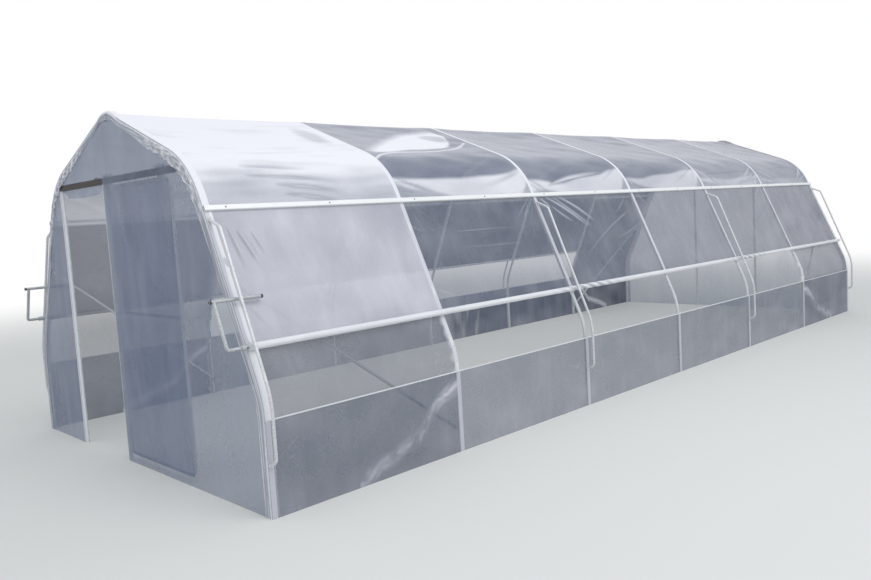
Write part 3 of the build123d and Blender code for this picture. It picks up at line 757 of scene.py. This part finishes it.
def wound_roll(label, side):
    """The film wound on the roller: many thin turns, whose edge runs along it and twists near the bows."""
    y, turn = lattice(CURTAIN_SPAN, (0.0, 2 * math.pi), 0.014, 2 * math.pi / 24)
    radius = ROLL_R - 0.0016 + 0.0011 * (turn / (2 * math.pi) + 0.18 * waves(51 + side, y, turn, 0.6, 9.0)) % 1.0
    twisted = np.zeros_like(y)
    for bow_y in BOW_STATIONS[1:-1]:
        near = bell(y - bow_y - 0.22, 0.36)
        spiral = np.sin(2 * turn + 2 * math.pi * (y - bow_y) / 0.13)
        radius += 0.0013 * near * spiral
        twisted = np.maximum(twisted, near * soft_step(0.5 - spiral))
    radius += 0.0004 * waves(61 + side, y, turn, 0.12, 2.4)
    radius = np.minimum(radius, ROLL_R)
    radius[:, -1] = radius[:, 0]
    # The first and last two rows close its ends
    for row, inner in ((0, ROLLER_R + SEAT), (1, ROLLER_R + 0.004)):
        radius[row] = radius[-1 - row] = inner
    y[1], y[-2] = y[0], y[-1]
    x = side * ROLLER_X + radius * np.cos(turn)
    z = ROLLER_Z + radius * np.sin(turn)
    return film(f"wound_roll_{label}", (x, y, z), folded_polythene,
                fold_and_painted_highlight=0.5 - 0.5 * twisted, haze_and_painted_light=0.75 - 0.7 * twisted, flip=True)


# The bunch of gathered film in an end bay: how far it is from the end hoop, and its height there
BUNCH_AWAY = [0.60, 0.69, 0.84, 1.11, 1.23, 1.37, 1.51]
BUNCH_HEIGHTS = [0.0, 0.05, 0.11, 0.19, 0.33, 0.42, 0.47]
BUNCH_WIDTH = 0.044
PLEAT = 0.009


def bunch(y, place, end):
    """How near a place is to the bunch that falls from an end bay's inner hoop to the ground, and its pleats."""
    from_end = (y - FRONT) if end == "front" else (REAR - y)
    line = np.interp(from_end, BUNCH_AWAY, BUNCH_HEIGHTS, left=-1.0, right=-1.0)
    near = bell(place - line, BUNCH_WIDTH) * (from_end > 0.58)
    return near, 0.5 + 0.5 * np.sin((place - line) / PLEAT + 3 * waves(77, y, place, 0.3, 0.3))


def side_panel(label, side, end):
    """Fixed film of an end bay, from the ground to the eave, clipped to the second hoop from that end."""
    front = end == "front"
    span = (ROOF_SPAN[0], FRONT + BAY + HOOP_R) if front else (REAR - BAY - HOOP_R, ROOF_SPAN[1])
    y, place = lattice(span, (0.0, EAVE - 0.001), 0.016, 0.018, TUBE_MARKS)
    held = np.sin(math.pi * unit(place / EAVE)) ** 0.4
    free = off_hoops(y) * held
    out = INNER_FILM - (SIDE_SAG + 0.004) * between_hoops(y) * held
    out += 0.0018 * waves(71 + side, y, place, 0.4, 0.5) * free - 0.003 * free
    clipped = FRONT + BAY - 0.01 if front else REAR - BAY + 0.01
    lines = []
    for k, height in enumerate(CLIP_HEIGHTS):
        low, high = (150, 235) if front else (-55, 30)
        lines += fan(400 + k * 3 + side, (clipped, place_at(height)), 0.28, low, high, 5, 0.0035, 0.008)
    height, white = creased(y, place, lines)
    out -= np.abs(height) * free
    near, pleated = bunch(y, place, end)
    out -= near * (0.003 + 0.009 * pleated) * free
    x, z = on_hoop(place, out)
    # It is white along its ragged edge, where the eave rail locks it, and in the bunch, and it carries a painted
    # highlight on the hoops
    ragged = 0.055 + 0.02 * waves(78, y, place, 0.3, 0.12)
    whites = [white, near * (0.6 + 0.4 * pleated), 0.8 * soft_step(1 - np.abs(y - clipped) / np.abs(ragged)),
              soft_step((place - EAVE + 0.024) / 0.006), on_tube(y) * 0.9]
    haze_and_painted_light = 0.06 + 0.06 * waves(79, y, place, 0.9, 0.6)
    sheet = film(f"side_sheet_{end}_{label}", (x * side, y, z), panel_polythene,
                 [f"side_panel_{end}_{label}"], fold_and_painted_highlight=np.max(whites, axis=0), haze_and_painted_light=haze_and_painted_light, flip=side < 0)


def skirt(label, side):
    """Fixed strip of film at the foot, with a hem along its upper edge."""
    y, z = lattice(CURTAIN_SPAN, (0.0, SKIRT_HEIGHT), 0.018, 0.02, TUBE_MARKS)
    wave = 0.0022 * waves(81 + side, y, z, 0.25, 0.9) + 0.0008 * waves(85 + side, y, z, 0.05, 0.5, 14)
    lines = []
    for number, bow_y in enumerate(BOW_STATIONS):
        for way, low, high in ((1, -60, 50), (-1, 130, 240)):
            lines += fan(500 + number * 5 + way + side, (bow_y + way * 0.01, BOW_FOOT), 0.3, low, high, 4, 0.003, 0.009)
    height, white = creased(y, z, lines)
    x = HALF_WIDTH + OUTER_FILM + outwards_only(wave + height) * off_hoops(y, 2.5) * (1.1 - z / SKIRT_HEIGHT)
    haze_and_painted_light = 0.02 + 0.12 * soft_step(1 - z / 0.25) + 0.06 * waves(88 + side, y, z, 0.8, 0.4)
    # The bunches behind it show through, unevenly, with painted light that makes them brighter near their upper ends
    bunch_show_and_painted_light = np.maximum(soft_step(0.85 + 0.7 * waves(89, y, z, 0.2, 0.2)), 1.7 * soft_step((z - 0.28) / 0.12))
    for end in ("front", "rear"):
        near, pleated = bunch(y, z, end)
        haze_and_painted_light += near * (0.2 + 0.28 * pleated) * bunch_show_and_painted_light
    sheet = film(f"skirt_sheet_{label}", (x * side, y, z), side_polythene, [f"skirt_{label}"],
                 fold_and_painted_highlight=np.maximum(white * 0.8, on_tube(y) * 0.8), haze_and_painted_light=haze_and_painted_light, flip=side < 0)
    inner, outer = sorted(side * (HALF_WIDTH + OUTER_FILM + reach) for reach in (-0.001, 0.0012))
    low, high = (inner, CURTAIN_SPAN[0], SKIRT_HEIGHT - 0.009), (outer, CURTAIN_SPAN[1], SKIRT_HEIGHT)
    hem = piece(f"skirt_hem_{label}", [block(low, high, welded_polythene, 0.0008)])


def wall_edge(z):
    """Half the width of an end wall at a height."""
    x, height = on_hoop(np.linspace(0.0, APEX, 1500), WALL_FACE - 0.0006)
    return np.interp(z, height, x)


def left_edge(z):
    return -wall_edge(z)


def wall_film(name, left, right, span, wall_y, out_way, seed, node_name, haze_and_painted_light=0.1):
    """A piece of end wall between two sides, each given as a function of height."""
    middle = np.array([(span[0] + span[1]) / 2])
    share, z = lattice((0.0, 1.0), span, 0.02 / float((right(middle) - left(middle))[0]), 0.022)
    low, high = left(z), right(z)
    x = low + (high - low) * share
    loose = unit(np.minimum(share, 1 - share) * 8)
    loose *= unit(np.minimum(z - span[0], span[1] - z) * 8 + 0.25)
    wave = waves(seed, x, z, 0.5, 1.3) * WALL_SLACK + waves(seed + 1, x, z, 0.14, 1.3, 14) * WALL_SLACK * 0.15
    y = wall_y + out_way * outwards_only(wave) * loose
    dust = haze_and_painted_light + 0.05 * waves(seed + 2, x, z, 0.5, 1.2)
    sheet = film(name, (x, y, z), wall_polythene, [node_name], haze_and_painted_light=dust, flip=out_way > 0)


def end_walls():
    depth = (END_FACE + WALL_FACE) / 2
    over, top = HEADER_TOP - 0.004, APEX_HEIGHT - 0.0039
    door_left, door_right = LEFT_POST_X + POST_R, RIGHT_POST_X + 0.004
    for name, left, right, span, seed, rests_on, haze_and_painted_light in (
        ("left", left_edge, lambda z: door_left + 0 * z, (0.0, over), 200, ["front_post_left"], 0.1),
        ("right", lambda z: door_right + 0 * z, wall_edge, (0.0, over), 210, ["front_post_right", "door_header"], 0.1),
        ("over", left_edge, wall_edge, (over, top), 220, ["door_header"], 0.2),
    ):
        wall_film(f"front_sheet_{name}", left, right, span, FRONT - depth, -1, seed, f"front_film_{name}",
                  haze_and_painted_light)
    wall_film("rear_sheet", left_edge, wall_edge, (0.0, top), REAR + depth, 1, 230, "rear_film")


def edge_folds(label, side, end):
    """The roof's and sides' edge, pulled round the end hoop and gathered on the end wall."""
    outwards, hoop_y = (-1, FRONT) if end == "front" else (1, REAR)
    length = APEX + 0.02
    place, w = lattice((0.0, length), (0.0, 1.0), 0.007, 1 / 24)
    rise = unit((APEX - place) / 0.9)
    shoulder = soft_step((place - EAVE + 0.15) / 0.25) * (1 - soft_step((place - EAVE - 0.75) / 0.3))
    width = 0.026 + 0.02 * rise + 0.014 * shoulder + 0.016 * bell(APEX - place, 0.09)
    uneven = 0.005 * waves(91 + side, place, w * 0, 0.3, 9.0) + 0.004 * waves(92, place, w * 0, 0.08, 9.0)
    width += uneven * (0.4 + shoulder)
    # It runs over the top of the hoop, round a quarter of it and down the wall
    bend = HOOP_R + 0.0035
    over_top = 0.03
    quarter = math.pi / 2 * bend
    run = w * (over_top + quarter + width)
    turned_by = np.clip(run - over_top, 0, quarter) / bend
    down = np.clip(run - over_top - quarter, 0, None)
    out = np.where(down > 0, -down, bend * np.cos(turned_by))
    forward = np.where(down > 0, bend, bend * np.sin(turned_by))
    forward = forward - np.where(turned_by > 0, 0, over_top - np.clip(run, 0, over_top))
    # Crumpled round the shoulder's bend into slanted folds; elsewhere a few long folds run along the hoop
    ridges = bell(waves(95 + side, place + 1.1 * down, run, 0.24, 0.04, 9), 0.3)
    blotch = soft_step(0.45 + 0.8 * waves(97 + side, place - 0.6 * down, run, 0.11, 0.05, 9))
    along = waves(96 + side, place, run, 0.8, 0.026, 12)
    loose = soft_step((run - over_top - quarter * 0.6) / 0.02)
    forward += (0.003 + shoulder * 0.0045 * ridges + (1 - shoulder) * 0.002 * np.tanh(along)) * loose
    # It is bunched over the apex
    out += 0.013 * np.exp(-((APEX - place) / 0.17) ** 4)
    x, z = on_hoop(place, out)
    z = np.maximum(z, 0.0)
    white = shoulder * (0.16 + 0.42 * ridges + 0.4 * blotch)
    white = white + (1 - shoulder) * (0.12 + 0.6 * soft_step((along + 0.2) / 1.2)) + 0.25 * soft_step((w - 0.93) / 0.07)
    folds = film(f"edge_fold_{end}_{label}", (x * side, hoop_y + outwards * forward, z), gathered_polythene,
                 fold_and_painted_highlight=white * loose + 0.92 * (1 - loose), flip=(side * outwards) > 0)


def post_sleeve():
    """The left wall film's edge, wrapped round the door post and standing out into the doorway."""
    z, turn = lattice((0.0, HEADER_BOTTOM - 0.002), (-0.3, 1.0), 0.02, 0.05)
    crumple = waves(111, z, turn, 0.12, 0.4, 14)
    radius = POST_R + 0.0028 + 0.0005 * crumple
    angle = -math.pi / 2 + np.clip(turn, None, 0.55) * math.pi
    standing = np.clip(turn - 0.55, 0, None)
    x = LEFT_POST_X + radius * np.cos(angle) + standing * 0.055 * (1 + 0.2 * crumple)
    y = FRONT + radius * np.sin(angle) - standing * 0.004 * crumple
    sleeve = film("post_sleeve", (x, y, z), gathered_polythene,
                  fold_and_painted_highlight=np.where(turn < 0.6, 0.92, 0.3 + 0.3 * unit(crumple)), flip=True)


def header_flap():
    """A short flap of film that hangs from the header into the doorway."""
    share, drop = lattice((0.0, 1.0), (0.0, 1.0), 0.03, 0.1)
    left, right = LEFT_POST_X + 0.02 + 0.12 * drop, RIGHT_POST_X - 0.02 - 0.055 * drop
    x = left + (right - left) * share
    z = HEADER_BOTTOM - drop * (0.072 - 0.012 * (2 * share - 1) ** 2)
    y = FRONT + 0.002 + 0.004 * waves(131, x, z, 0.25, 0.5) * drop
    flap = film("header_flap", (x, y, z), wall_polythene, haze_and_painted_light=0.3, flip=True,
                fold_and_painted_highlight=0.12 + 0.5 * soft_step((drop - 0.86) / 0.14))


def door_sheet():
    left, right, bottom, top = LEAF_LINES
    top -= 0.009
    x, z = lattice((left, right), (bottom, top), 0.025, 0.025)
    loose = unit(np.minimum(x - left, right - x) * 10)
    y = LEAF_Y - LEAF_R - 0.0013 + 0.002 * waves(121, x, z, 0.3, 0.9) * loose
    sheet = film("door_sheet", (x, y, z), wall_polythene, ["door_film"], body="door",
                 haze_and_painted_light=0.12 + 0.06 * waves(122, x, z, 0.4, 0.9))


# Tubes and fittings

def hoops():
    line = rounded(HOOP_CORNERS, HOOP_RADII, 0.03)
    for name, y in zip(HOOPS, STATIONS):
        piece(name.replace("hoop", "hoop_tube"), [tube([(x, y, z) for x, z in line], HOOP_R, zinc, 20)], [name])


def long_tubes():
    """The ridge purlin with its wire ties, and the rollers."""
    rafter = math.atan2(APEX_HEIGHT - SHOULDER[1], SHOULDER[0])
    apex_top = APEX_HEIGHT - APEX_RADIUS * (1 / math.cos(rafter) - 1)
    purlin_z = apex_top - HOOP_R - SEAT - PURLIN_R
    ends = [(0, FRONT - HOOP_R, purlin_z), (0, REAR + HOOP_R, purlin_z)]
    low, high, reach = purlin_z - 0.0135, apex_top + 0.004, 0.017
    ties = []
    for y in STATIONS:
        tie = [(0.0, y - reach, low), (0.0, y - reach, high), (0.0, y + reach, high), (0.0, y + reach, low)]
        ties.append(tube(rounded(tie + tie[:1], [0.009] * 3, 0.004), 0.0017, screw_zinc, 8))
    piece("purlin_tube", [tube(ends, PURLIN_R, zinc, wall=0.0012)], ["ridge_purlin"])
    piece("purlin_ties", ties)
    for label, side in SIDES:
        ends = [(side * ROLLER_X, FRONT - ROLLER_PAST, ROLLER_Z), (side * ROLLER_X, REAR + ROLLER_PAST, ROLLER_Z)]
        piece(f"roller_pipe_{label}", [tube(ends, ROLLER_R, zinc, wall=0.0015)], [f"roller_tube_{label}"])


def wind_braces():
    reach = HOOP_R + SEAT + 0.0014 + BRACE_R
    top_x, top_z = on_hoop(place_at(1.35), -reach)
    for label, side in SIDES:
        meshes = []
        for end_y, inner_y in ((STATIONS[0], STATIONS[1]), (STATIONS[-1], STATIONS[-2])):
            top = Vector((side * top_x, end_y, top_z))
            foot = Vector((side * (HALF_WIDTH - reach), inner_y, 0.15))
            meshes.append(tube([top, foot + (foot - top).normalized() * 0.03], BRACE_R, zinc))
            meshes += [bolt(end - ACROSS * side * BRACE_R, -ACROSS * side) for end in (top, foot)]
        piece(f"wind_brace_tubes_{label}", meshes, [f"wind_braces_{label}"])


def guide_bows():
    """The bows in front of the rollers, with a moulded collar at each end."""
    start = on_hoop(place_at(EAVE_HEIGHT - 0.053), 0.009)
    top = on_hoop(place_at(EAVE_HEIGHT - 0.141), 0.103)
    leg_way = np.array(SHOULDER) - np.array(KINK)
    leg_out = np.array([leg_way[1], -leg_way[0]]) / np.linalg.norm(leg_way)
    share = BOW_OFFSET / (1 + leg_out[0])
    kink = (KINK[0] + share * (1 + leg_out[0]), KINK[1] + share * leg_out[1])
    corners = [start, top, kink, (HALF_WIDTH + BOW_OFFSET, BOW_FOOT + 0.025), (HALF_WIDTH + 0.009, BOW_FOOT)]
    line = rounded(corners, [0.04, KINK_RADIUS, 0.04], 0.012)
    collar = [(0.0105, 0.0), (0.0155, 0.0), (0.0155, 0.0022), (0.0105, 0.0028)]
    for label, side in SIDES:
        for number, y in zip(range(1, HOOP_COUNT + 1, 2), BOW_STATIONS):
            meshes = [tube([(side * x, y, z) for x, z in line], BOW_R, zinc, 16)]
            for (x, z), (far_x, far_z) in ((start, top), (corners[4], corners[3])):
                outwards = Vector((side * (far_x - x), 0, far_z - z)).normalized()
                base = Vector((side * x, y, z)) + outwards * 0.0085
                meshes.append(turned(collar, base, outwards, clip_plastic, 20))
            piece(f"guide_bow_tube_{label}_{number}", meshes, [f"guide_bow_{label}_{number}"])


def cranks():
    """A socket on each roller's end, a bent rod, and a plugged tube handle."""
    handle_x, handle_z = on_hoop(ROLLER_PLACE + 0.279, 0.05)
    arm_y = FRONT - 0.145
    sleeve = [(0.0130, 0.0), (0.0158, 0.0), (0.0168, 0.001), (0.0168, 0.044), (0.0158, 0.045), (0.011, 0.045)]
    cap = [(0.0105, 0.0), (0.0114, 0.0006), (0.0114, 0.012), (0.0104, 0.0138), (0.0, 0.0142)]
    for label, side in SIDES:
        socket_base = Vector((side * ROLLER_X, FRONT - 0.0175, ROLLER_Z))
        arm = [(side * ROLLER_X, FRONT - 0.06, ROLLER_Z), (side * ROLLER_X, arm_y, ROLLER_Z)]
        arm.append((side * handle_x, arm_y, handle_z))
        handle = [(side * handle_x, FRONT - 0.175, handle_z), (side * handle_x, FRONT + 0.161, handle_z)]
        meshes = [
            turned(sleeve, socket_base, -ALONG, shaded_zinc),
            tube(rounded(arm, [0.016], 0.004), CRANK_R, shaded_zinc),
            tube(handle, CRANK_R, shaded_zinc, 20, wall=0.002),
            turned(cap, Vector(handle[0]) + ALONG * 0.014, -ALONG, plug_plastic),
            turned(cap, Vector(handle[1]) - ALONG * 0.014, ALONG, plug_plastic),
            bolt(socket_base + Vector((side * 0.0165, -0.012, 0)), ACROSS * side, 0.004),
        ]
        piece(f"crank_{label}_rod", meshes, [f"crank_{label}"])


def front_frame():
    """The door posts, the header's clamp, and the finishes of the header and the eave rails."""
    for label, x in (("left", LEFT_POST_X), ("right", RIGHT_POST_X)):
        post = tube([(x, FRONT, 0), (x, FRONT, HEADER_BOTTOM)], POST_R, zinc, 20)
        piece(f"front_post_tube_{label}", [post], [f"front_post_{label}"])
    for name, finish in (("door_header", brown_paint), ("eave_rail_right", aluminium), ("eave_rail_left", aluminium)):
        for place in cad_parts[name].material_slots:
            place.link = "OBJECT"
            place.material = finish
    clamp_x, clamp_top = -0.26, HEADER_TOP + 0.004
    low = (clamp_x - 0.025, FRONT - 0.019, HEADER_TOP - 0.002)
    clamp = [block(low, (clamp_x + 0.025, FRONT + 0.016, clamp_top), screw_zinc)]
    for x in (clamp_x - 0.014, clamp_x + 0.014):
        clamp.append(bolt((x, FRONT - 0.004, clamp_top), UPWARD, 0.0065))
    piece("header_clamp", clamp)


def rear_frame():
    rail_z = 1.97
    half = float(on_hoop(place_at(rail_z))[0]) - 0.01
    runs = [[(-half, REAR, rail_z), (half, REAR, rail_z)]] + [[(x, REAR, 0), (x, REAR, rail_z)] for x in (-0.45, 0.45)]
    piece("rear_frame_tubes", [tube(run, POST_R, zinc, 20) for run in runs], ["rear_end_frame"])


def door():
    """The leaf's bent tube and middle rail, and two hangers with two grooved wheels each."""
    left, right, bottom, top = LEAF_LINES
    middle = (left + right) / 2
    corners = [(middle, top), (right, top), (right, bottom), (left, bottom), (left, top), (middle, top)]
    ring = rounded([(x, LEAF_Y, z) for x, z in corners], [0.06] * 4, 0.012)[:-1]
    rail = [(left, LEAF_Y, LEAF_MIDDLE), (right, LEAF_Y, LEAF_MIDDLE)]
    leaf = [tube(ring, LEAF_R, zinc, 16, ring=True), tube(rail, LEAF_R, zinc, 16)]
    piece("door_leaf_tubes", leaf, ["door_frame"], body="door")
    plate_back = LEAF_Y - LEAF_R - SEAT
    plate_front = plate_back - 0.004
    wheel_r = 0.018
    wheel_z = HEADER_TOP + SEAT + wheel_r
    tread = [(0.004, -0.006), (0.0165, -0.006), (wheel_r, -0.0045), (0.0172, -0.0015), (0.0172, 0.0015)]
    tread += [(wheel_r, 0.0045), (0.0165, 0.006), (0.004, 0.006)]
    meshes = []
    for spot in (LEAF[0] + 0.09, LEAF[1] - 0.09):
        low = (spot - 0.055, plate_front, top - 0.009 + SEAT)
        meshes.append(block(low, (spot + 0.055, plate_back, wheel_z + 0.008), zinc, 0.0012))
        for x in (spot - 0.034, spot + 0.034):
            meshes.append(turned(tread, (x, FRONT, wheel_z), ALONG, clip_plastic, 28))
            meshes.append(tube([(x, FRONT - 0.009, wheel_z), (x, plate_front, wheel_z)], 0.004, screw_zinc, 12))
            meshes.append(bolt((x, plate_back, wheel_z), ALONG, 0.0045))
    piece("door_hanger_plates", meshes, ["door_hangers"], body="door")


def film_clip(y, height, side):
    """A plastic sleeve snapped over the film and the hoop's leg."""
    place, turn = lattice((-0.03, 0.03), (-2.2, 2.2), 0.03, 0.2)
    turn = np.concatenate([turn, turn[:, ::-1]], axis=1)
    rings, count = turn.shape
    layer = HOOP_R + np.where(np.arange(count) < count // 2, 0.0055, 0.003)
    x, z = on_hoop(place_at(height) + place[:, :1], layer * np.cos(turn))
    rows = np.stack([side * x, y + layer * np.sin(turn), z], -1).reshape(-1, 3).tolist()
    faces = ring_faces(rings, count)
    for k in range(count // 2 - 1):
        for i in (0, (rings - 1) * count):
            faces.append((i + k, i + k + 1, i + count - 2 - k, i + count - 1 - k))
    return new_mesh("clip", rows, faces, clip_plastic)


def fittings():
    rail_x, rail_z = on_hoop(EAVE, RAIL_FACE)
    out_x, out_z = on_hoop(EAVE, RAIL_FACE + 1)
    for label, side in SIDES:
        clips = [film_clip(y, height, side) for y in (STATIONS[1], STATIONS[-2]) for height in CLIP_HEIGHTS]
        piece(f"film_clips_{label}", clips)
        outwards = Vector((side * (out_x - rail_x), 0, out_z - rail_z))
        screws = [bolt((side * rail_x, y, rail_z), outwards, 0.0035) for y in np.arange(FRONT + 0.12, REAR, 0.75)]
        piece(f"eave_rail_screws_{label}", screws)


hoops()
long_tubes()
wind_braces()
guide_bows()
cranks()
front_frame()
rear_frame()
door()
fittings()
roof_film()
for label, side in SIDES:
    side_curtain(label, side)
    side_panel(label, side, "front")
    side_panel(label, side, "rear")
    skirt(label, side)
    edge_folds(label, side, "front")
    edge_folds(label, side, "rear")
end_walls()
post_sleeve()
header_flap()
door_sheet()


# Floor, light and camera

YAW = 45.68
PITCH_DOWN = 5.39
ROLL_LEFT = -3.46


def seen_ray(tree):
    """1 for a ray by which the camera sees, and 0 for one that lights."""
    path = node(tree, "LightPath").outputs
    seen = node(tree, "Math", {0: path["Is Camera Ray"], 1: path["Is Glossy Ray"]}, operation="MAXIMUM")
    return node(tree, "Math", {0: seen, 1: path["Is Transmission Ray"]}, operation="MAXIMUM")


def studio():
    """A pale floor that fades to white, a white surround, a soft lamp and the photograph's camera."""
    floor, tree, shader = material("pale_floor")
    wire(tree, shader, {"Base Color": linear("e4e4e1"), "Roughness": 0.9, "Specular IOR Level": 0.2})
    place = node(tree, "TexCoord").outputs["Object"]
    far = node(tree, "VectorMath", {0: place}, operation="LENGTH").outputs["Value"]
    fade = node(tree, "MapRange", {"Value": far, 1: 6.0, 2: 17.0}, interpolation_type="SMOOTHSTEP")
    fade = node(tree, "Math", {0: fade, 1: seen_ray(tree)}, operation="MULTIPLY")
    white = node(tree, "Emission", {"Color": linear("ffffff")})
    ending = node(tree, "MixShader", {0: fade, 1: shader, 2: white})
    wire(tree, tree.nodes["Material Output"], {"Surface": ending})
    corners = [(-90, -90, -0.001), (90, -90, -0.001), (90, 90, -0.001), (-90, 90, -0.001)]
    linked("floor", new_mesh("floor", corners, [(0, 1, 2, 3)], floor))

    world = bpy.data.worlds.new("studio")
    bpy.context.scene.world = world
    world.use_nodes = True
    tree = world.node_tree
    tree.nodes.clear()
    plain = node(tree, "Background", {"Color": linear("ffffff")})
    light = node(tree, "Background", {"Color": linear("eef3f8"), "Strength": 0.75})
    mixed = node(tree, "MixShader", {0: seen_ray(tree), 1: light, 2: plain})
    node(tree, "OutputWorld", {"Surface": mixed})

    lamp = bpy.data.lights.new("key", "AREA")
    lamp.shape = "DISK"
    lamp.size = 8.0
    lamp.energy = 480.0
    holder = linked("key", lamp)
    holder.location = (7.5, -3.0, 10.0)
    holder.rotation_euler = (Vector((0.0, -0.5, 1.0)) - holder.location).to_track_quat("-Z", "Y").to_euler()

    view = bpy.data.cameras.new("camera")
    view.lens = 32.82
    view.clip_end = 200.0
    camera = linked("camera", view)
    stand = Matrix.Translation((5.381, -6.7035, 1.606))
    for degrees, axis in ((YAW, "Z"), (90 - PITCH_DOWN, "X"), (ROLL_LEFT, "Z")):
        stand @= Matrix.Rotation(math.radians(degrees), 4, axis)
    camera.matrix_world = stand
    bpy.context.scene.camera = camera
    bpy.context.scene.view_settings.view_transform = "Standard"


studio()
